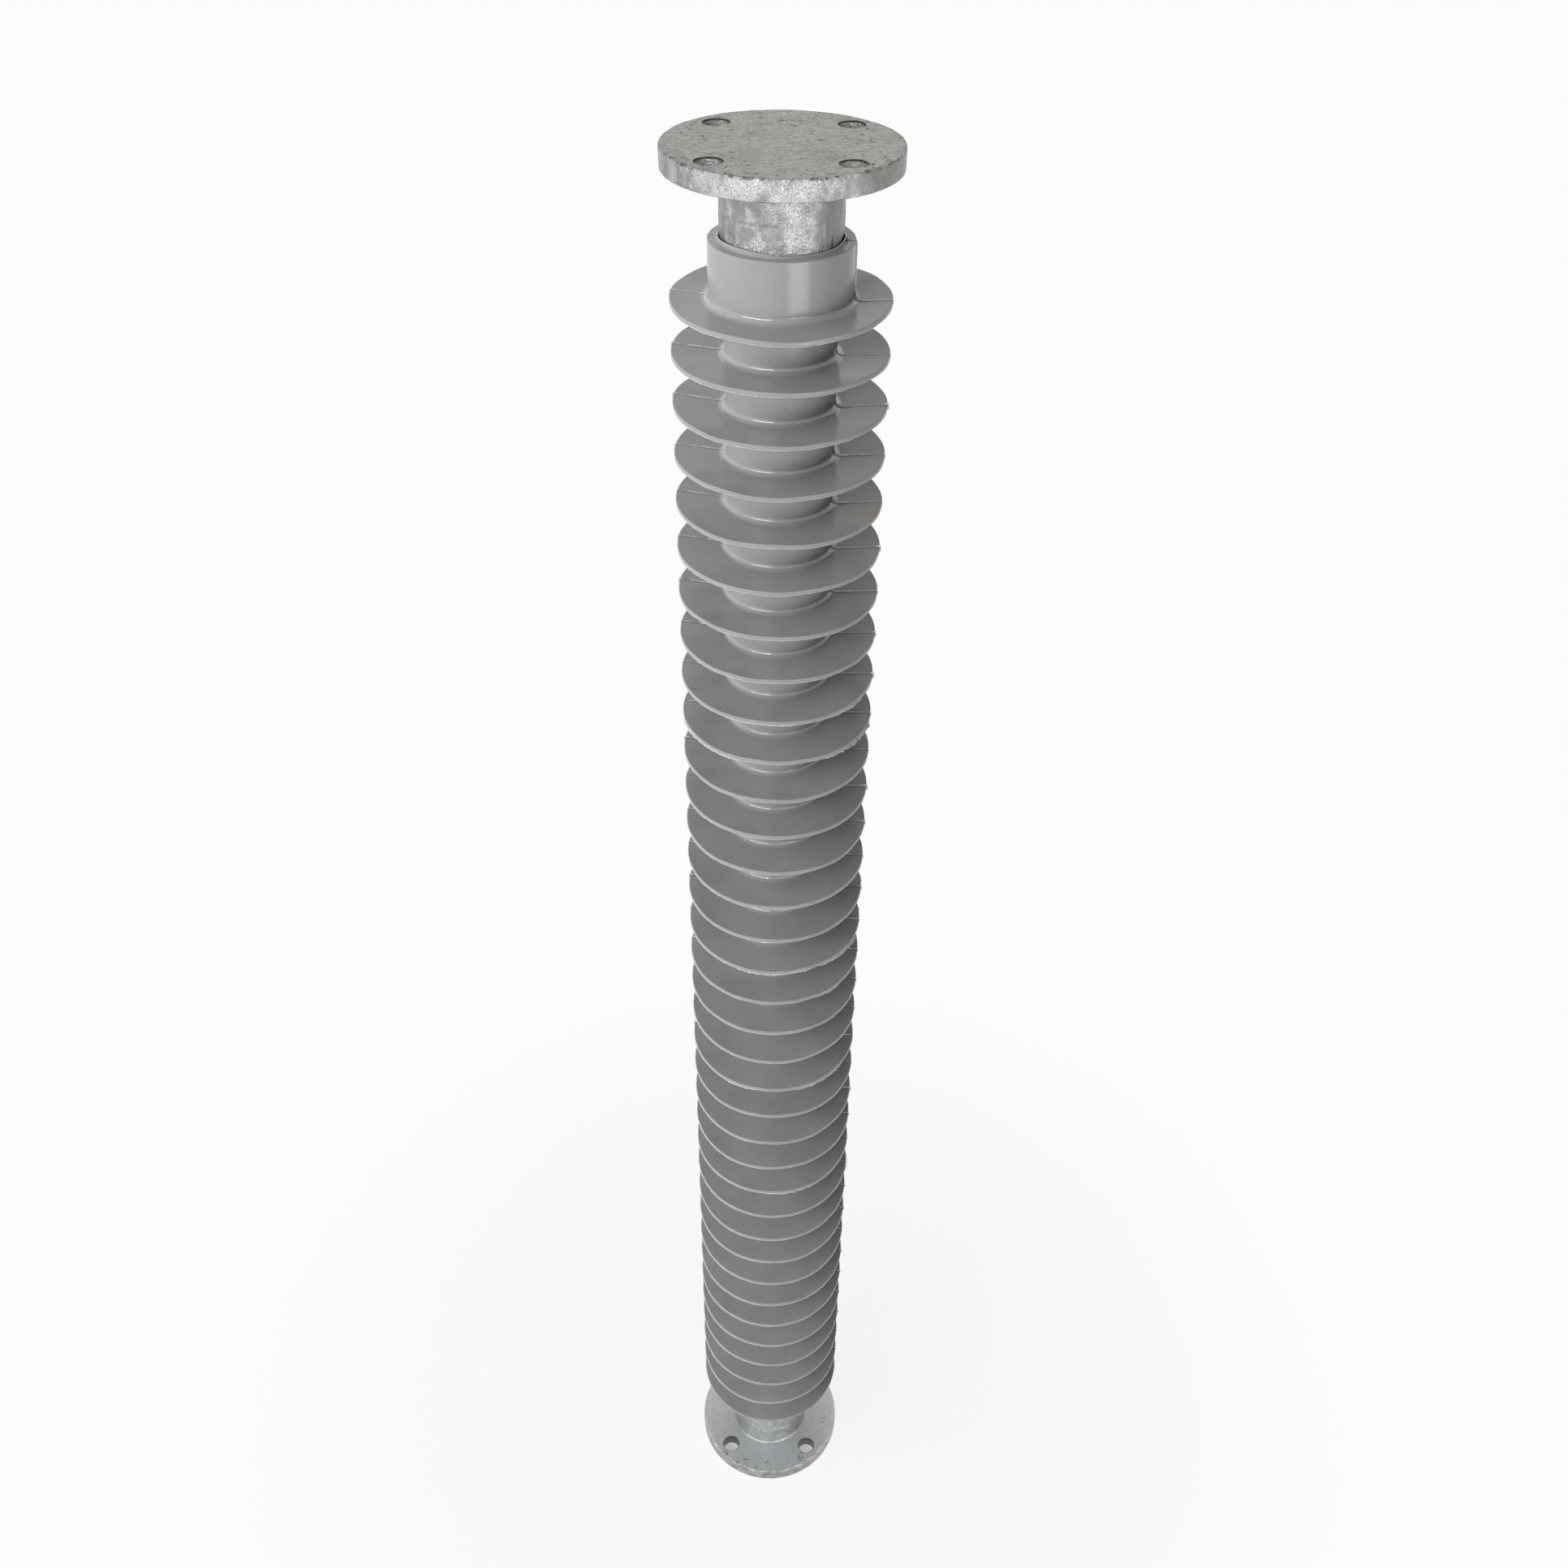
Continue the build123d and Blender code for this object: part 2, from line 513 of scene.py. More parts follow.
# %% Uneven bead
FIN_FLATNESS = 0.5
NOTHING = 0.03
GAP_LENGTH = 0.17
NUB_SIZES = (0.5, 0.9, 1.4, 1.8)
NUB_DEPTH = 2 * MM
ROOT_REACH = 0.3
COLLAR_REACH = 8 * MM
draw = random.Random(7)
bead.data.dimensions = "3D"
bead.data.bevel_depth = BEAD_RADIUS
bead.data.bevel_resolution = 1
bead.data.use_fill_caps = True
for spline in bead.data.splines:
    right = spline.points[0].co.x > 0
    size = nub = 1.0
    # the share of the overhang at which the next stretch is missing
    gap = 1.0 if right else draw.uniform(0.45, 0.8)
    for point in spline.points:
        radius = point.co.xy.length
        size += draw.uniform(-0.35, 0.35) + 0.25 * (0.85 - size)
        size = min(max(size, 0.2), 1.5)
        out = (radius - TRUNK_RADIUS) / (SHED_RADIUS - TRUNK_RADIUS)
        near_root = max(0.0, 1 - abs(out) / ROOT_REACH)
        near_collar = max(0.0, 1 - abs(point.co.z - FIRST_RIM) / COLLAR_REACH)
        if radius > SHED_RADIUS - NUB_DEPTH:
            point.radius = nub
        elif gap < out < gap + GAP_LENGTH:
            point.radius = NOTHING
        else:
            point.radius = size * (1.0 + (1.1 if right else 0.2) * near_root)
            nub = draw.choice(NUB_SIZES)
            if draw.random() < 0.3:
                gap = draw.uniform(0.75, 1.5) if right else draw.uniform(0.4, 0.8)
        on_collar = TRUNK_RADIUS + 6 * MM < radius < COLLAR_RADIUS + 1.5 * MM
        if on_collar and abs(out) < 0.35:
            fullness, swelling = (1.2, 1.2) if right else (0.6, 0.3)
            point.radius = size * fullness + swelling * near_collar
bpy.ops.object.convert(target="MESH")
for vertex in bead.data.vertices:
    vertex.co -= parting_normal * vertex.co.dot(parting_normal) * FIN_FLATNESS
clean(bead)
tell(bead)

# %% [markdown]
# ## Torn flash on the rims
# Some rims squeezed out a film at their lower edge, which tore as the housing left the mould.
# A noise could roughen the rim, but a film has an edge of its own: a stretch of the rim's foot
# is duplicated, cut finer and extruded, its outer row is pulled out at random, and Solidify
# gives it thickness. The row is sorted by direction, because a mesh doesn't promise the order
# of its vertices, and each random number has to meet the same one in every run.

# %% Torn flash
FILM_THICKNESS = 0.4 * MM
FILM_CUTS = 7
FILM_DROP = 0.25
FILM_START = 0.25 * MM
FADE = 4
# the rounding of the foot has three steps, and the film grows from the last ring but one
RIM_FOOT = SHED_RADIUS - RIM_FOOT_ROUND * (1 - cos(2 / 3 * (pi / 2 - LOWER_ANGLE)))
# shed number from the top, from and to in degrees round the axis, and reach in millimetres
TORN = [
    (1, -139, -127, 1.0), (9, -122, -76, 1.5), (9, -58, -28, 2.0), (10, -172, -112, 1.8),
    (10, -62, -10, 2.6), (15, 1, 40, 2.2), (16, -116, -62, 1.8), (16, -59, -17, 3.0),
    (16, 4, 40, 2.2), (17, -62, -38, 1.6), (17, 4, 34, 2.0), (20, -125, -100, 1.6),
    (20, -75, -29, 2.3), (24, -95, -55, 1.5), (25, -32, 10, 1.8),
]


def around(point):
    """Direction of a point round the axis, in degrees."""
    return degrees(atan2(point.y, point.x))


def at_rim_foot(_, edge):
    """An edge of the ring at the foot of any rim."""
    return all(abs(end.co.xy.length - RIM_FOOT) < NEAR / 2 for end in edge.verts)


rim_feet = part_off(housing, at_rim_foot, "rim_feet")
films = []
for number, start, end, reach in TORN:
    rim = FIRST_RIM - (number - 1) * SHED_PITCH
    film = part_off(
        rim_feet,
        lambda centre, _: abs(centre.z - rim) < SHED_PITCH / 7 and start < around(centre) < end,
        "film",
    )
    edit(film)
    bpy.ops.mesh.subdivide(number_cuts=FILM_CUTS)
    bpy.ops.mesh.extrude_region_move(TRANSFORM_OT_translate={"value": (0, 0, -FILM_START)})
    leave()
    size = 0.3
    row = [vertex for vertex in film.data.vertices if vertex.select]
    for vertex in sorted(row, key=lambda vertex: around(vertex.co)):
        size = 0.35 * size + 0.65 * (0.15 + 0.85 * draw.random() ** 1.8)
        inside = min(around(vertex.co) - start, end - around(vertex.co))
        fade = min(1.0, max(inside / FADE, 0.05))
        outward = vertex.co.xy.normalized() * reach * MM * size * fade
        vertex.co += Vector((outward.x, outward.y, -FILM_DROP * outward.length))
    # its faces have to agree on their front before they get a thickness
    clean(film)
    modify(film, "SOLIDIFY", thickness=FILM_THICKNESS, offset=0)
    films.append(film)
film = join(films, "torn_flash")
clean(film)
tell(film)

# %% [markdown]
# On all rims but the last the film was cut off, and a fine pale ridge is left along the
# lower edge. The same copied rings serve for it: turned into curves they get a round
# bevel that swells and thins on its way round.

# %% Trimmed ridge
RIDGE_RADIUS = 0.42 * MM
RIDGE_SWELLING = (0.7, 1.2)
ridge = part_off(rim_feet, lambda centre, _: centre.z > LAST_RIM + SHED_PITCH / 2, "rim_ridge")
bpy.data.objects.remove(rim_feet)
activate(ridge)
bpy.ops.object.convert(target="CURVE")
ridge.data.dimensions = "3D"
ridge.data.bevel_depth = RIDGE_RADIUS
ridge.data.bevel_resolution = 0
rings = [point for spline in ridge.data.splines for point in spline.points]
for point in sorted(rings, key=lambda point: (round(point.co.z, 5), around(point.co))):
    point.radius = draw.uniform(*RIDGE_SWELLING)
bpy.ops.object.convert(target="MESH")
clean(ridge)
tell(ridge)

# %% [markdown]
# ## End fittings
# Each fitting is a forged or cast steel flange on a hollow neck, dipped in molten zinc. Both
# come from one pattern, so the section is drawn once, standing on its outer face, and
# spun. The rings are set close together, because the zinc skin gets its unevenness from
# a Displace modifier, and that can only move what is there.

# %% Fitting section
FITTING_STEPS = 192
RING_GAP = 1.9 * MM
FACE_RING_GAP = 4 * MM
EDGE_ROUND = 1.2 * MM
NECK_ROOT_ROUND = 2 * MM
NECK_CHAMFER = 2 * MM
FITTING_END = FLANGE_THICKNESS + NECK_LENGTH

fitting_blank = draw_section(
    "fitting_blank",
    [
        (0, 0),
        (FLANGE_RADIUS, 0, EDGE_ROUND, 3),
        (FLANGE_RADIUS, FLANGE_THICKNESS, EDGE_ROUND, 3),
        (NECK_RADIUS, FLANGE_THICKNESS, NECK_ROOT_ROUND, 4),
        (NECK_RADIUS, FITTING_END - NECK_CHAMFER),
        (NECK_RADIUS - NECK_CHAMFER, FITTING_END),
        (ROD_RADIUS, FITTING_END),
        (ROD_RADIUS, SOCKET_FLOOR),
        (0, SOCKET_FLOOR),
    ],
    azimuth=0,
)
face_width = FLANGE_RADIUS - NECK_RADIUS
for place_of, place, length, gap in [
    (lambda centre: centre.z, 0, FLANGE_RADIUS, FACE_RING_GAP),
    (lambda centre: centre.xy.length, FLANGE_RADIUS, FLANGE_THICKNESS, RING_GAP),
    (lambda centre: centre.z, FLANGE_THICKNESS, face_width, FACE_RING_GAP),
    (lambda centre: centre.xy.length, NECK_RADIUS, NECK_LENGTH, RING_GAP),
]:
    select(
        "edges",
        lambda centre, edge: abs(place_of(centre) - place) < NEAR and edge.calc_length() > gap,
    )
    bpy.ops.mesh.subdivide(number_cuts=int(length / gap))
spin_section(FITTING_STEPS)
tell(fitting_blank)

# %% [markdown]
# The crimping press closed eight dies on the neck. Each left a shallow panel, with a narrow
# rib of untouched skin between neighbours. The panels are whole faces of the blank, so they
# are selected by height and direction, and an inset that goes down half a millimetre gives
# each its pressed edge.

# %% Crimp marks
CRIMP_COUNT = 8
CRIMP_DEPTH = 0.5 * MM
CRIMP_EDGE = 0.9 * MM
CRIMP_RIB = 360 / FITTING_STEPS
CRIMP_LOW = FLANGE_THICKNESS + CRIMP_START
CRIMP_HIGH = FITTING_END - CRIMP_END_MARGIN


def under_die(centre, _):
    """A face of the neck that a die pressed."""
    die_width = 360 / CRIMP_COUNT
    between_ribs = CRIMP_RIB < around(centre) % die_width < die_width - CRIMP_RIB
    on_neck = abs(centre.xy.length - NECK_RADIUS) < 2 * NEAR
    return between_ribs and on_neck and CRIMP_LOW < centre.z < CRIMP_HIGH


edit(fitting_blank)
pressed = select("faces", under_die)
bpy.ops.mesh.inset(thickness=CRIMP_EDGE, depth=-CRIMP_DEPTH)
leave()
print(pressed, "faces pressed in")

# %% [markdown]
# The bolt holes are drilled with a Boolean. The cutter is a cylinder whose two ends flare out
# a little, so that it also breaks the edges of the hole, as the zinc does when it runs off
# them. One cutter is modelled, and three copies are turned round the axis.

# %% Bolt holes
HOLE_EDGE = 0.6 * MM
HOLE_STEPS = 48
HOLE_TURN = 2 * pi / BOLT_HOLE_COUNT
HOLE_FLARE = 1 + 2 * HOLE_EDGE / BOLT_HOLE_RADIUS

hole_centre = at(BOLT_CIRCLE_RADIUS, FLANGE_THICKNESS / 2, HOLE_TURN / 2)
bpy.ops.mesh.primitive_cylinder_add(
    vertices=HOLE_STEPS, radius=BOLT_HOLE_RADIUS, depth=FLANGE_THICKNESS - 2 * HOLE_EDGE,
    location=hole_centre,
)
cutter = bpy.context.object
bpy.ops.object.transform_apply(location=True, rotation=True, scale=True)
bpy.ops.object.mode_set(mode="EDIT")
for side in (-1, 1):
    select("faces", lambda _, face: face.normal.z * side > 0.9)
    bpy.ops.mesh.extrude_region_move(
        TRANSFORM_OT_translate={"value": (0, 0, 2 * HOLE_EDGE * side)}
    )
    bpy.ops.transform.resize(value=(HOLE_FLARE, HOLE_FLARE, 1), center_override=hole_centre)
bpy.ops.mesh.select_all(action="SELECT")
for _ in range(BOLT_HOLE_COUNT - 1):
    bpy.ops.mesh.duplicate()
    bpy.ops.transform.rotate(value=HOLE_TURN, orient_axis="Z", center_override=(0, 0, 0))
leave()
modify(fitting_blank, "BOOLEAN", object=cutter, operation="DIFFERENCE", solver="EXACT")
bpy.data.objects.remove(cutter)
clean(fitting_blank)
tell(fitting_blank)

# %% [markdown]
# The two fittings are copies of the blank, the top one turned over. Their zinc differs: the
# top one came out of the bath lumpy, the bottom one nearly smooth. The clouds only push
# inwards, so no fitting grows past its true size.

# %% Two fittings
bpy.ops.object.duplicate()
top_piece = bpy.context.object
top_piece.name = "top_end_fitting"
edit(top_piece)
bpy.ops.transform.rotate(value=pi, orient_axis="X", center_override=(0, 0, TOTAL_HEIGHT / 2))
leave()
bottom_piece = fitting_blank
bottom_piece.name = "bottom_end_fitting"


def outer_skin(point):
    """1 on the flange and the neck, 0 in the socket and on the neck's end."""
    height = min(point.z, TOTAL_HEIGHT - point.z)
    inside = point.xy.length < ROD_RADIUS + 1 * MM and height > SOCKET_FLOOR / 2
    return 0.0 if inside or height > FITTING_END - 3 * MM else 1.0


# piece, width of its lumps and their depth
LUMPS = [(top_piece, 6 * MM, 0.55 * MM), (bottom_piece, 12 * MM, 0.2 * MM)]
for piece, size, depth in LUMPS:
    lumps = clouds("zinc_" + piece.name, size, 2)
    push(piece, outer_skin, depth, texture=lumps, direction="NORMAL", mid_level=1.0)
tell(top_piece, bottom_piece)

# %% [markdown]
# Smooth shading makes the facets of the sweep disappear. Edges sharper than the given
# angle stay crisp, and a Weighted Normal modifier keeps the broad flat faces flat, where
# plain smoothing would let the small fillets beside them bend their shading.

# %% Shading
SHARP_ANGLE = radians(40)
for piece in (housing, bead, film, ridge, top_piece, bottom_piece):
    activate(piece)
    bpy.ops.object.shade_smooth_by_angle(angle=SHARP_ANGLE)
for piece in (housing, top_piece, bottom_piece):
    modify(piece, "WEIGHTED_NORMAL", keep_sharp=True)
print("smooth up to", round(degrees(SHARP_ANGLE)), "degrees")

# %% [markdown]
# ## Finishes
# Shader maths reads best as Python, so a small class wraps an output socket and turns each
# operator into a Math node. Other nodes come from one method of the finish that takes the
# node's type, its settings and the values or links of its inputs.


# %% Node helpers
class Value:
    """Output socket of a node, on which maths is written with Python's operators."""

    def __init__(self, finish, socket):
        self.finish, self.socket = finish, socket

    def math(self, operation, *values):
        return self.finish.node("Math", {"operation": operation}, dict(enumerate(values)))

    def __add__(self, other):
        return self.math("ADD", self, other)

    def __sub__(self, other):
        return self.math("SUBTRACT", self, other)

    def __rsub__(self, other):
        return self.math("SUBTRACT", other, self)

    def __mul__(self, other):
        return self.math("MULTIPLY", self, other)

    def __truediv__(self, other):
        return self.math("DIVIDE", self, other)

    __radd__ = __add__
    __rmul__ = __mul__


class Finish:
    """Node material with a Principled shader."""

    def __init__(self, name, **constants):
        self.material = bpy.data.materials.new(name)
        self.material.use_nodes = True
        self.tree = self.material.node_tree
        self.shader = self.tree.nodes["Principled BSDF"]
        for key, value in constants.items():
            self.shader.inputs[key.replace("_", " ")].default_value = value
        self.place = self.node("TexCoord", {}, {}, "Object")

    def node(self, kind, settings, inputs, output=0):
        """New shader node. Settings come first, then the values or links of its sockets."""
        made = self.tree.nodes.new("ShaderNode" + kind)
        for key, value in settings.items():
            setattr(made, key, value)
        for key, value in inputs.items():
            if isinstance(value, Value):
                self.tree.links.new(value.socket, made.inputs[key])
            else:
                made.inputs[key].default_value = value
        return Value(self, made.outputs[output])

    def noise(self, size, detail=2.0, roughness=0.5, stretch=None, distortion=0.0):
        """Grey noise about 0.5 with features of that size in millimetres."""
        place = self.place
        if stretch:
            place = self.node("Mapping", {}, {"Vector": place, "Scale": stretch})
        inputs = {"Vector": place, "Scale": 1 / (size * MM), "Detail": detail}
        inputs |= {"Roughness": roughness, "Distortion": distortion}
        return self.node("TexNoise", {}, inputs)

    def step(self, value, low, high):
        """0 below low, 1 above high and smooth between."""
        inputs = {"Value": value, "From Min": low, "From Max": high}
        return self.node("MapRange", {"interpolation_type": "SMOOTHSTEP"}, inputs)

    def band(self, value, start, full, last, end):
        """1 from full to last, falling to 0 at the start and at the end."""
        return self.step(value, start, full) * (1 - self.step(value, last, end))

    def mix(self, factor, first, second):
        """Colour between the first, at factor 0, and the second, at 1."""
        first, second = [
            colour if isinstance(colour, Value) else (*colour, 1) for colour in (first, second)
        ]
        return self.node("Mix", {"data_type": "RGBA"}, {0: factor, 6: first, 7: second}, 2)

    def layers(self, base, *layers):
        """Colour of the base under all the layers, each a mask and a colour."""
        for mask, colour in layers:
            base = self.mix(mask, base, colour)
        return base

    def vector(self, operation, first, second=(0, 0, 0), output="Value"):
        """Vector maths on two links or triples."""
        return self.node("VectorMath", {"operation": operation}, {0: first, 1: second}, output)

    def near(self, point, size, core=0.0):
        """1 up to the core distance from the point, falling to 0 at the size."""
        return 1 - self.step(self.vector("DISTANCE", self.place, tuple(point)), core, size)

    def spots(self, places, core=0.0):
        """Sum of the spots at all the places, each with a core that is a share of its size.

        A place is a radius, a height, a direction in degrees and a size, in millimetres.
        """
        return sum(
            self.near(at(out * MM, height * MM, radians(azimuth)), size * MM, core * size * MM)
            for out, height, azimuth, size in places
        )

    def split(self):
        """Three values: x, y and z of the place."""
        parts = self.node("SeparateXYZ", {}, {0: self.place})
        return [Value(self, socket) for socket in parts.socket.node.outputs]

    def radius(self):
        """Distance from the axis."""
        flat = self.vector("MULTIPLY", self.place, (1, 1, 0), "Vector")
        return self.vector("LENGTH", flat)

    def up(self):
        """Height of the surface's direction: 1 where it faces up, 0 on a wall."""
        normal = self.node("NewGeometry", {}, {}, "Normal")
        return self.node("SeparateXYZ", {}, {0: normal}, 2)

    def bore(self):
        """1 at the distance from the axis at which the bolt holes lie."""
        inner, outer = BOLT_CIRCLE_RADIUS - BOLT_HOLE_RADIUS, BOLT_CIRCLE_RADIUS + BOLT_HOLE_RADIUS
        far, close = 2.5 * MM, 0.5 * MM
        return self.band(self.radius(), inner - far, inner - close, outer + close, outer + far)

    def bump(self, height, distance, strength=1.0, under=None):
        """Normal that the height, 0 to 1, raises by that distance in millimetres."""
        inputs = {"Height": height, "Distance": distance * MM, "Strength": strength}
        if under:
            inputs["Normal"] = under
        return self.node("Bump", {}, inputs)

    def link(self, **sockets):
        """Feed the shader's own sockets."""
        for key, value in sockets.items():
            self.tree.links.new(value.socket, self.shader.inputs[key.replace("_", " ")])

    def done(self):
        """The material, once its nodes are counted."""
        print(self.material.name, "has", len(self.tree.nodes), "nodes")
        return self.material

# %% [markdown]
# ### Silicone rubber
# The housing is one grey compound, so its look is mostly light on a satin skin with a slow
# waviness and a fine grain. Clouds of dust on the faces that look up change its colour and
# gloss, and a thin painted shadow runs along the front side of the parting line. Handling
# has dulled the sheds and the collars but not the fillets at their roots, where a clear
# coat, weighted by the distance from the axis, draws a crisp arc of light.

# %% Rubber
RUBBER_DARK = (0.330, 0.334, 0.332)
RUBBER_LIGHT = (0.362, 0.366, 0.362)
DUST = (0.41, 0.405, 0.375)
STAIN = (0.30, 0.27, 0.16)
# dark specks of dirt, and the painted shadow beside the flash
DIRT_AND_SHADE = (0.05, 0.05, 0.045)
FLASH_DULL = (0.54, 0.54, 0.53)
FLASH_PALE = (0.74, 0.74, 0.72)
RUBBER_IOR = 1.43
FILLET_END = TRUNK_RADIUS + ROOT_ROUND
COLLAR_FILLET_END = COLLAR_RADIUS + ROOT_ROUND
STAINS = [
    (74, (FIRST_RIM - 3 * SHED_PITCH) / MM, -27, 17),
    (74, (FIRST_RIM - 4 * SHED_PITCH) / MM, -22, 21),
]


def glossy_root(finish, up):
    """1 on the fillets at the roots of the sheds and of the top collar."""
    heights = [FIRST_RIM + step * MM for step in (-0.4, 0.4, 3.5, 5.0)]
    radius = finish.radius()
    foot_end = finish.step(radius, COLLAR_FILLET_END - 0.2 * MM, COLLAR_FILLET_END + 0.8 * MM)
    collar_foot = finish.band(finish.split()[2], *heights) * (1 - foot_end)
    handled = finish.step(radius, FILLET_END, FILLET_END + 1.5 * MM) * (1 - collar_foot)
    return (1 - handled) * finish.step(up, 0.02, 0.15)


def painted_flash_shadow(finish):
    """1 on a thin line along the front side of the parting line, where the flash's shadow is
    painted.
    """
    aside = finish.vector("DOT_PRODUCT", finish.place, tuple(parting_normal))
    return finish.band(aside, -2.0 * MM, -1.3 * MM, -0.6 * MM, 0.0)


def rubber():
    """Satin grey silicone with a little dust, dirt, two stains and a painted shadow beside the
    flash.
    """
    finish = Finish("silicone_rubber", IOR=RUBBER_IOR, Coat_IOR=1.6, Coat_Roughness=0.08)
    cloud = finish.noise(38, 4, 0.55)
    grain = finish.noise(1.1, 2)
    wave = finish.noise(24, 1)
    up = finish.up()
    dust = finish.step(up, 0.5, 1.0) * finish.step(cloud, 0.35, 0.7)
    speck = finish.step(finish.noise(1.6, 1), 0.77, 0.79)
    dirt = finish.step(finish.noise(4.3, 1), 0.80, 0.81)
    root = glossy_root(finish, up)
    stain = finish.spots(STAINS)
    base = finish.layers(
        RUBBER_DARK,
        (finish.step(cloud, 0.3, 0.7), RUBBER_LIGHT),
        (dust * 0.25, DUST),
        (speck * 0.5, FLASH_PALE),
        (dirt * 0.6, DIRT_AND_SHADE),
        # painted shadow of the flash, on the front side of the parting line
        (painted_flash_shadow(finish) * 0.45, DIRT_AND_SHADE),
        (stain * finish.step(cloud, 0.3, 0.55) * 0.6, STAIN),
    )
    finish.link(
        Base_Color=base,
        Roughness=0.19 + 0.03 * cloud + 0.06 * dust - 0.1 * root,
        Coat_Weight=0.75 * root,
        Normal=finish.bump(grain, 0.01, 0.3, finish.bump(wave, 0.3, 0.2)),
    )
    return finish.done()


rubber_finish = rubber()

# %% [markdown]
# The flash is the same rubber, but less than a millimetre thick, so light passes through it
# and it looks much paler. A paler colour does that here: real transmission would cost far more
# and show nothing else at this size. Torn and trimmed, it is also duller than the skin.

# %% Flash rubber
thin = Finish("flash_rubber", IOR=RUBBER_IOR)
cloud = thin.noise(3, 2)
thin.link(
    Base_Color=thin.mix(thin.step(cloud, 0.35, 0.65), FLASH_DULL, FLASH_PALE),
    Roughness=0.25 + 0.1 * cloud,
)
flash_finish = thin.done()

# %% [markdown]
# ### Hot-dip zinc
# Zinc freezes on the steel as a crust of fine crystals. On the rim and the neck it stayed
# bright and rough, and where the dies pressed it is smooth and grey. The flat face has
# weathered to an even grey with dark pits and scratches, and its edge is chipped and dirty.
# A mirror-like metal mostly shows its surroundings, and those are plain here, so its glitter,
# its sheen and the gleams are painted highlights in its colour, its flanks turned away from
# the front get painted shade, and the pressed patches are painted too.

# %% Zinc
ZINC_PAINTED_SHEEN = (0.60, 0.62, 0.615)
ZINC_PAINTED_GLINT = (0.82, 0.83, 0.81)
ZINC_GREY = (0.30, 0.31, 0.305)
# dark grey for dark grains and specks, and for painted shade on flanks turned away from the front
ZINC_WORN_AND_SHADE = (0.20, 0.20, 0.185)
ZINC_DULL = (0.258, 0.262, 0.243)
ZINC_PALE = (0.415, 0.42, 0.395)
ZINC_DARK = (0.05, 0.05, 0.042)
ZINC_BROWN = (0.265, 0.255, 0.23)
ZINC_BORE = (0.62, 0.62, 0.59)
PRESSED = [(42, 1456, -128, 15), (42, 1453, -99, 10), (42, 1458, -52, 13)]
GLEAMS = [
    (80, 1492, -110, 26), (80, 1492, -80, 22), (42, 1476, -80, 16), (42, 1456, -72, 18),
    (42, 1445, -108, 12),
]
# a darker streaky spot on the neck just above the collar at the front right
DARK_FOOT = [(42, 1442, -42, 12)]


def crystalline_side(zinc, crust, patch):
    """Colour of the rim and the neck: crystals with painted sheen and glints, grey prints, painted
    shade on the flanks and a dark spot at the foot.
    """
    x = zinc.split()[0]
    gleam = zinc.spots(GLEAMS)
    sheen = zinc.noise(9, 3, 0.6, stretch=(1, 1, 0.7))
    # painted sheen: bright patches from a slow noise and the painted gleams, less on the pressed
    # patches, with painted white glints in the crust
    bright = zinc.step(sheen + 0.14 * gleam - 0.1 * patch, 0.36, 0.72)
    hollow = zinc.step(zinc.noise(1.0, 3, 0.7), 0.46, 0.62) * (0.4 + 0.3 * bright)
    streak = zinc.step(zinc.noise(3, 3, 0.6, stretch=(1, 1, 0.12)), 0.5, 0.62)
    # painted shade on the flanks turned away from the front, strongest on the right, with streaks
    # in it
    sideways = x / zinc.radius()
    flank_shade = zinc.step(sideways, 0.48, 0.75) + 0.6 * zinc.step(-1 * sideways, 0.8, 0.95)
    foot = zinc.spots(DARK_FOOT, 0.5)
    return zinc.layers(
        ZINC_GREY,
        (bright, ZINC_PAINTED_SHEEN),
        (zinc.step(crust, 0.5, 0.66) * bright * 0.6, ZINC_PAINTED_GLINT),
        (hollow * (1 - 0.7 * patch), ZINC_WORN_AND_SHADE),
        (flank_shade * (0.78 + 0.2 * streak), ZINC_WORN_AND_SHADE),
        (foot * streak * 0.8, ZINC_DARK),
    )


def weathered_face(zinc, cloud):
    """Colour of the flat face: dull mottled grey with pits and scratches."""
    mottle = zinc.noise(5, 5, 0.75, distortion=0.5)
    speckle = zinc.step(zinc.noise(1.6, 3, 0.7), 0.52, 0.68)
    pit = zinc.step(zinc.noise(4.5, 5, 0.75), 0.57, 0.62)
    long_noise = zinc.noise(5, 3, 0.7, stretch=(0.7, 1.2, 1.0), distortion=1.0)
    scratch = zinc.step(long_noise, 0.62, 0.68)
    pitted = 0.35 + 0.75 * zinc.step(zinc.noise(22, 3, 0.6), 0.42, 0.56)
    pitted = pitted + 0.5 * zinc.step(zinc.radius(), 68 * MM, 79 * MM)
    return zinc.layers(
        ZINC_DULL,
        (zinc.step(0.4 * cloud + 0.6 * mottle, 0.36, 0.62), ZINC_PALE),
        (zinc.step(cloud, 0.48, 0.66) * 0.7, ZINC_BROWN),
        (speckle * 0.4, ZINC_WORN_AND_SHADE),
        ((pit * 0.9 + scratch * 0.6) * pitted * 0.9, ZINC_DARK),
    )


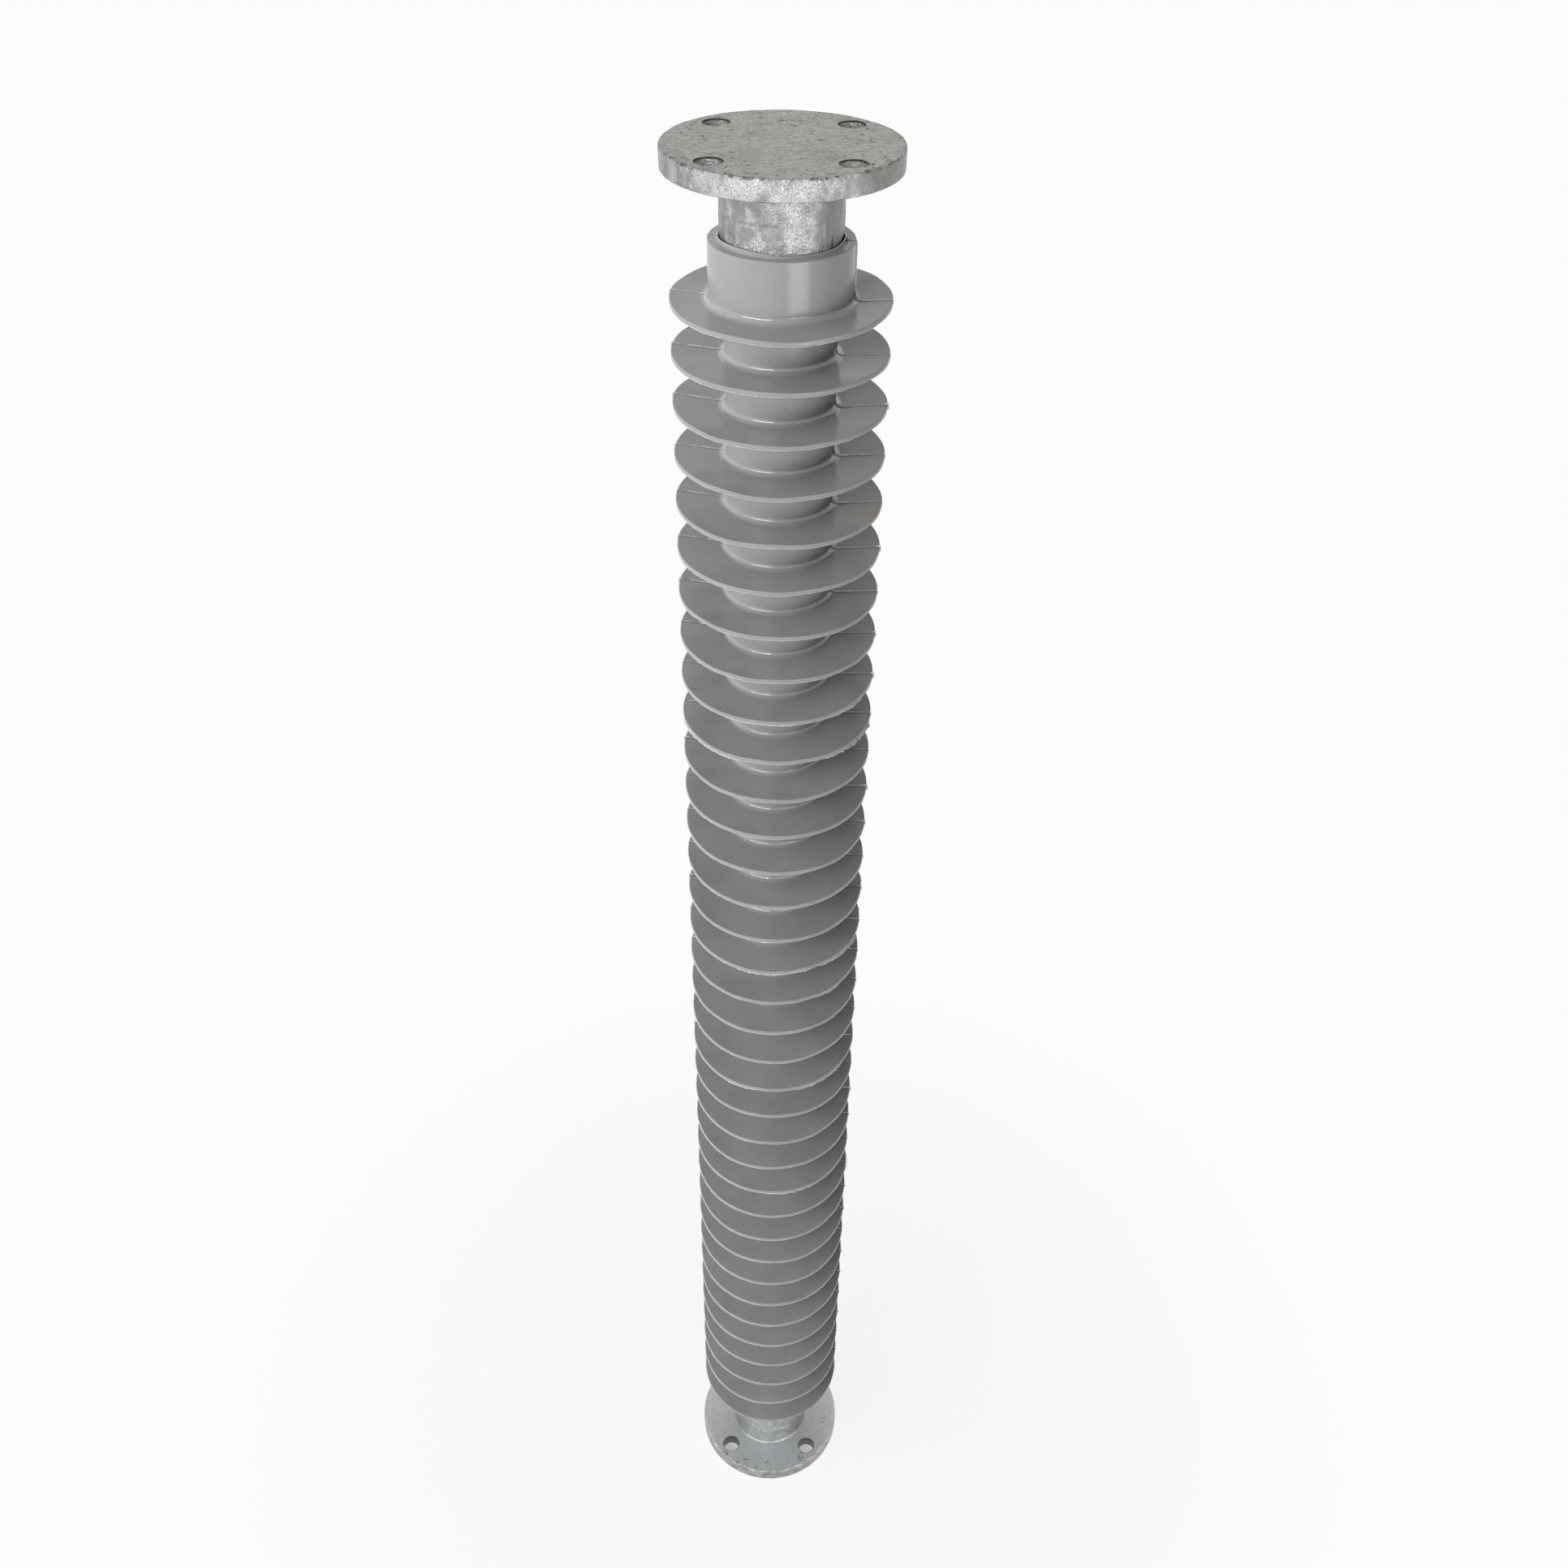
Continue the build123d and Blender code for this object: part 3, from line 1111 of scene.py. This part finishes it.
def rough_zinc():
    """Glittering crust on the sides, dull and pitted on the flat faces."""
    zinc = Finish("rough_zinc", Metallic=1.0)
    crust = zinc.noise(1.2, 3, 0.65, distortion=0.8)
    lump = zinc.noise(6, 3, 0.55)
    cloud = zinc.noise(24, 4, 0.6)
    chip = zinc.step(zinc.noise(6, 5, 0.8), 0.44, 0.56)
    height = zinc.split()[2]
    flat = zinc.step(zinc.up(), 0.75, 0.95)
    patch = zinc.spots(PRESSED, 0.5)

    under_edge = zinc.step(height, TOTAL_HEIGHT - 1.9 * MM, TOTAL_HEIGHT - 0.9 * MM)
    crusted_wall = (zinc.step(crust, 0.42, 0.6), ZINC_BORE)
    wall = zinc.layers(ZINC_GREY, crusted_wall, (under_edge, ZINC_DARK))
    rim_edge = zinc.step(zinc.radius(), 76 * MM, 79 * MM) * zinc.step(
        height, TOTAL_HEIGHT - 4 * MM, TOTAL_HEIGHT - 0.6 * MM
    )
    base = zinc.layers(
        crystalline_side(zinc, crust, patch),
        (zinc.bore(), wall),
        (flat, weathered_face(zinc, cloud)),
        (zinc.step(rim_edge * 0.6 + 0.6 * chip, 0.9, 1.15) * 0.75, ZINC_DARK),
    )
    lumps = zinc.bump(lump, 0.9, 0.7 - 0.5 * flat)
    crusted = (1 - 0.8 * flat) * (1 - 0.6 * patch)
    zinc.link(
        Base_Color=base,
        Roughness=0.3 + 0.25 * flat + 0.15 * patch,
        Normal=zinc.bump(crust, 0.8, crusted, lumps),
    )
    return zinc.done()


top_finish = rough_zinc()

# %% [markdown]
# The bottom fitting is the same metal with a much smoother, bluish skin. Only a few pits and
# scuffs near its edge break it. The edge is a little smoother, a broken painted highlight runs
# along it at the front, and the neck's flanks turned away from the front get painted shade.

# %% Smooth zinc
SMOOTH_COOL = (0.48, 0.52, 0.53)
SMOOTH_WARM = (0.46, 0.465, 0.445)
SMOOTH_PALE = (0.68, 0.69, 0.66)
SMOOTH_RIM_DULL = (0.27, 0.265, 0.26)
SMOOTH_RIM_PALE = (0.40, 0.395, 0.385)
SMOOTH_EDGE_HIGHLIGHT = (0.95, 0.96, 0.95)
SMOOTH_BORE = (0.20, 0.20, 0.19)
SCUFFS = [
    (72, 15, -111, 6), (73, 15, -58, 7), (66, 15, -53, 6), (68, 15, -92, 5),
    (76, 15, -100, 5), (78, 15, -132, 6), (78, 15, -118, 5), (66, 15, -10, 8),
]
HOLE_EDGES = [(63.5, 15, azimuth, 10.3) for azimuth in (45, 135, 225, 315)]
HOLE_CORE = 9.2 / 10.3


def edge_line_and_highlight(zinc, radius, y):
    """Thin line along the flange's upper edge, and a painted highlight on it, broken and only at
    the front.
    """
    line = zinc.band(radius, 78.2 * MM, 78.5 * MM, 79.1 * MM, 79.3 * MM)
    broken = zinc.step(zinc.noise(6, 3, 0.6), 0.47, 0.53)
    return line, line * broken * zinc.step(-1 * y, 20 * MM, 45 * MM)


def smooth_zinc():
    """Even bluish zinc with a few scuffs, a painted highlight along the edge, darker holes and
    painted shade on the neck's flanks.
    """
    zinc = Finish("smooth_zinc", Metallic=1.0, Coat_Weight=0.3, Coat_Roughness=0.1)
    cloud = zinc.noise(30, 4, 0.6)
    fine = zinc.noise(2, 4, 0.6)
    lump = zinc.noise(9, 2, 0.5)
    grit = zinc.noise(2.2, 4, 0.75)
    flat = zinc.step(zinc.up(), 0.75, 0.95)
    x, y = zinc.split()[:2]
    radius = zinc.radius()
    neck = 1 - zinc.step(radius, NECK_RADIUS + 1 * MM, NECK_RADIUS + 2 * MM)
    rim = zinc.step(radius, 78.8 * MM, 79.5 * MM)
    # the line is a little smoother all round, and a painted highlight lies on it at the front
    line, painted_edge_highlight = edge_line_and_highlight(zinc, radius, y)
    pit = zinc.step(grit + 0.13 * zinc.spots(SCUFFS, 0.4), 0.66, 0.70)

    aside = zinc.step(x * x, (25 * MM) ** 2, (68 * MM) ** 2)
    bloom = zinc.step(zinc.noise(5, 5, 0.75), 0.48, 0.66)
    # painted shade on the neck's flanks turned away from the front
    turned_away = zinc.step(x * x, (20 * MM) ** 2, (36 * MM) ** 2) * neck
    base = zinc.layers(
        SMOOTH_COOL,
        (0.8 * aside + 0.4 * cloud - 0.1 + 0.7 * neck, SMOOTH_WARM),
        (bloom * (0.4 + 0.3 * neck), SMOOTH_PALE),
        (zinc.step(lump, 0.45, 0.75) * neck * 0.5, ZINC_BROWN),
        (turned_away * 0.7, ZINC_WORN_AND_SHADE),
        (rim, zinc.mix(zinc.step(lump, 0.35, 0.65), SMOOTH_RIM_DULL, SMOOTH_RIM_PALE)),
        (painted_edge_highlight, SMOOTH_EDGE_HIGHLIGHT),
        (pit * 0.8, ZINC_DARK),
        (
            zinc.bore() * (1 - flat),
            zinc.mix(zinc.step(fine, 0.4, 0.62), SMOOTH_BORE, ZINC_GREY),
        ),
        (zinc.spots(HOLE_EDGES, HOLE_CORE) * 0.75, ZINC_DARK),
    )
    zinc.link(
        Base_Color=base,
        Roughness=0.42 + 0.15 * cloud + 0.1 * fine - 0.15 * line,
        Normal=zinc.bump(fine, 0.08, 0.6, zinc.bump(lump, 0.35, 0.5)),
    )
    return zinc.done()


bottom_finish = smooth_zinc()

# %% [markdown]
# ### Fibreglass
# The rod is hidden, but it is a real part and carries the load, so it gets the look of
# pultruded fibreglass: fine fibres along its length in a greenish resin.

# %% Fibreglass
RESIN = (0.42, 0.45, 0.30)
FIBRE = (0.62, 0.62, 0.46)

rod_skin = Finish("fibreglass", Roughness=0.35)
fibre = rod_skin.noise(1.2, 3, 0.6, stretch=(1, 1, 0.02))
base = rod_skin.mix(fibre, RESIN, FIBRE)
rod_skin.link(Base_Color=base, Normal=rod_skin.bump(fibre, 0.05, 0.5))
rod_finish = rod_skin.done()

# %% [markdown]
# ## Pieces in their places
# Each piece rides on the one body of this part and takes the place of its CAD solid. The
# rod keeps its CAD solid.

# %% Pieces
for piece, material, slot in [
    (housing, rubber_finish, "silicone_rubber"),
    (bead, flash_finish, "silicone_rubber"),
    (film, flash_finish, "silicone_rubber"),
    (ridge, flash_finish, "silicone_rubber"),
    (top_piece, top_finish, "galvanised_steel"),
    (bottom_piece, bottom_finish, "galvanised_steel"),
]:
    piece.data.materials.clear()
    piece.data.materials.append(material)
    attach(piece, "root")
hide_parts("housing")
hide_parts("top_fitting")
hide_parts("bottom_fitting")
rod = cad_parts["core_rod"]
rod.data.materials.clear()
rod.data.materials.append(rod_finish)

# %% [markdown]
# ## Floor and light
# A studio lays white paper on the floor. Lit plainly, it comes out grey beside a pale object,
# so towards the camera, and in reflections, it is whiter and mixed with a white glow. The glow
# is weakest under the flange, where the holes show the floor in shade, and fullest far away.
# What is left of the plain paper keeps the object's soft shadow.

# %% Floor
FLOOR_SIZE = 60
PAPER_DARK = (0.66, 0.66, 0.66)
PAPER_LIGHT = (0.68, 0.68, 0.68)
PAPER_SEEN = (0.95, 0.95, 0.95)
WHITE = (1, 1, 1, 1)
BACKGROUND_RAYS = ("Is Camera Ray", "Is Glossy Ray", "Is Transmission Ray")


def background_rays(finish):
    """1 for rays from the camera, off a mirror or through glass, and 0 for lighting rays."""
    rays = finish.node("LightPath", {}, {})
    camera, glossy, transmission = [
        Value(finish, rays.socket.node.outputs[name]) for name in BACKGROUND_RAYS
    ]
    return camera.math("MINIMUM", camera + glossy + transmission, 1.0)


bpy.ops.mesh.primitive_plane_add(size=FLOOR_SIZE, location=(0, 0, 0))
floor = bpy.context.object
floor.name = "floor"
paper = Finish("white_paper", Roughness=0.9)
seen = background_rays(paper)
lit = paper.mix(paper.noise(400, 3), PAPER_DARK, PAPER_LIGHT)
paper.link(Base_Color=paper.mix(seen, lit, PAPER_SEEN))
open_floor = paper.step(paper.radius(), 72 * MM, 80 * MM)
far_floor = paper.step(paper.radius(), 0.2, 0.9)
glowing = seen * (0.36 + 0.48 * open_floor + 0.11 * far_floor)
glow = paper.node("Emission", {}, {"Color": WHITE, "Strength": 1.0})
plain = Value(paper, paper.shader.outputs[0])
blend = paper.node("MixShader", {}, {0: glowing, 1: plain, 2: glow})
paper.tree.links.new(blend.socket, paper.tree.nodes["Material Output"].inputs["Surface"])
floor.data.materials.append(paper.material)
print("floor of", FLOOR_SIZE, "m")

# %% [markdown]
# The surround is plain white to the camera and in reflections. As light it is uneven, like a
# room with a big pale wall: strong and low from the left, so that it shines in between the
# sheds, softer from high at the front left, and weak from the back and from above. The right
# stays dim, which lets the round forms turn into shade.


# %% Surround
class Surround(Finish):
    """The same helpers for the nodes of the world."""

    def __init__(self, world):
        self.tree = world.node_tree
        self.shader = self.tree.nodes["Background"]
        self.place = self.node("TexCoord", {}, {}, "Generated")


WALL_STRENGTH = 4.3
HIGH_STRENGTH = 0.9
BACK_STRENGTH = 0.7
TOP_STRENGTH = 0.14
DIAGONAL = 0.707

world = bpy.data.worlds.new("surround")
bpy.context.scene.world = world
world.use_nodes = True
sky = Surround(world)
east, north, height = sky.split()
low_band = sky.band(height, -0.05, 0.05, 0.35, 0.6)
high_band = sky.band(height, 0.3, 0.6, 0.8, 0.95)
front_left = -DIAGONAL * east - DIAGONAL * north
wall = WALL_STRENGTH * low_band * sky.step(-1 * east, 0.55, 1.0)
wall = wall + HIGH_STRENGTH * high_band * sky.step(front_left, 0.1, 0.6)
fill = BACK_STRENGTH * low_band * sky.step(north, 0.55, 1.0)
fill = fill + TOP_STRENGTH * sky.step(height, 0.5, 0.95)
white = background_rays(sky)
sky.shader.inputs["Color"].default_value = WHITE
sky.link(Strength=white + (1 - white) * (wall + fill))
print("surround has", len(sky.tree.nodes), "nodes")

# %% [markdown]
# Three soft boxes give the highlights. A long low one at the front left draws the crisp arcs in
# the fillets and a thin line on each rim. A smaller one at the front right, below the
# collar, draws the soft window on it. A weak third one lifts the shade at the far right.

# %% Lamps
LAMP_DISTANCE = 2.4
# name, direction in degrees, height, width, height of the panel, watts and height aimed at
LAMPS = [
    ("left_window", -126, 2.2, 2.1, 0.2, 26, 1.0),
    ("right_window", -62, 0.85, 1.3, 0.6, 16, 1.3),
    ("far_right_window", -32, 0.55, 1.0, 0.9, 1.5, 1.3),
]

for name, azimuth, height, width, tall, power, aim_height in LAMPS:
    place = at(LAMP_DISTANCE, height, radians(azimuth))
    bpy.ops.object.light_add(type="AREA", location=place)
    lamp = bpy.context.object
    lamp.name = name
    lamp.data.shape = "RECTANGLE"
    lamp.data.size = width
    lamp.data.size_y = tall
    lamp.data.energy = power
    lamp.rotation_euler = (at(0, aim_height) - place).to_track_quat("-Z", "Y").to_euler()
    lamp.visible_camera = False
print("lamps:", ", ".join(name for name, *_ in LAMPS))

# %% [markdown]
# Colours are shown as they are, so the view stays Standard.

# %% View
bpy.context.scene.view_settings.view_transform = "Standard"
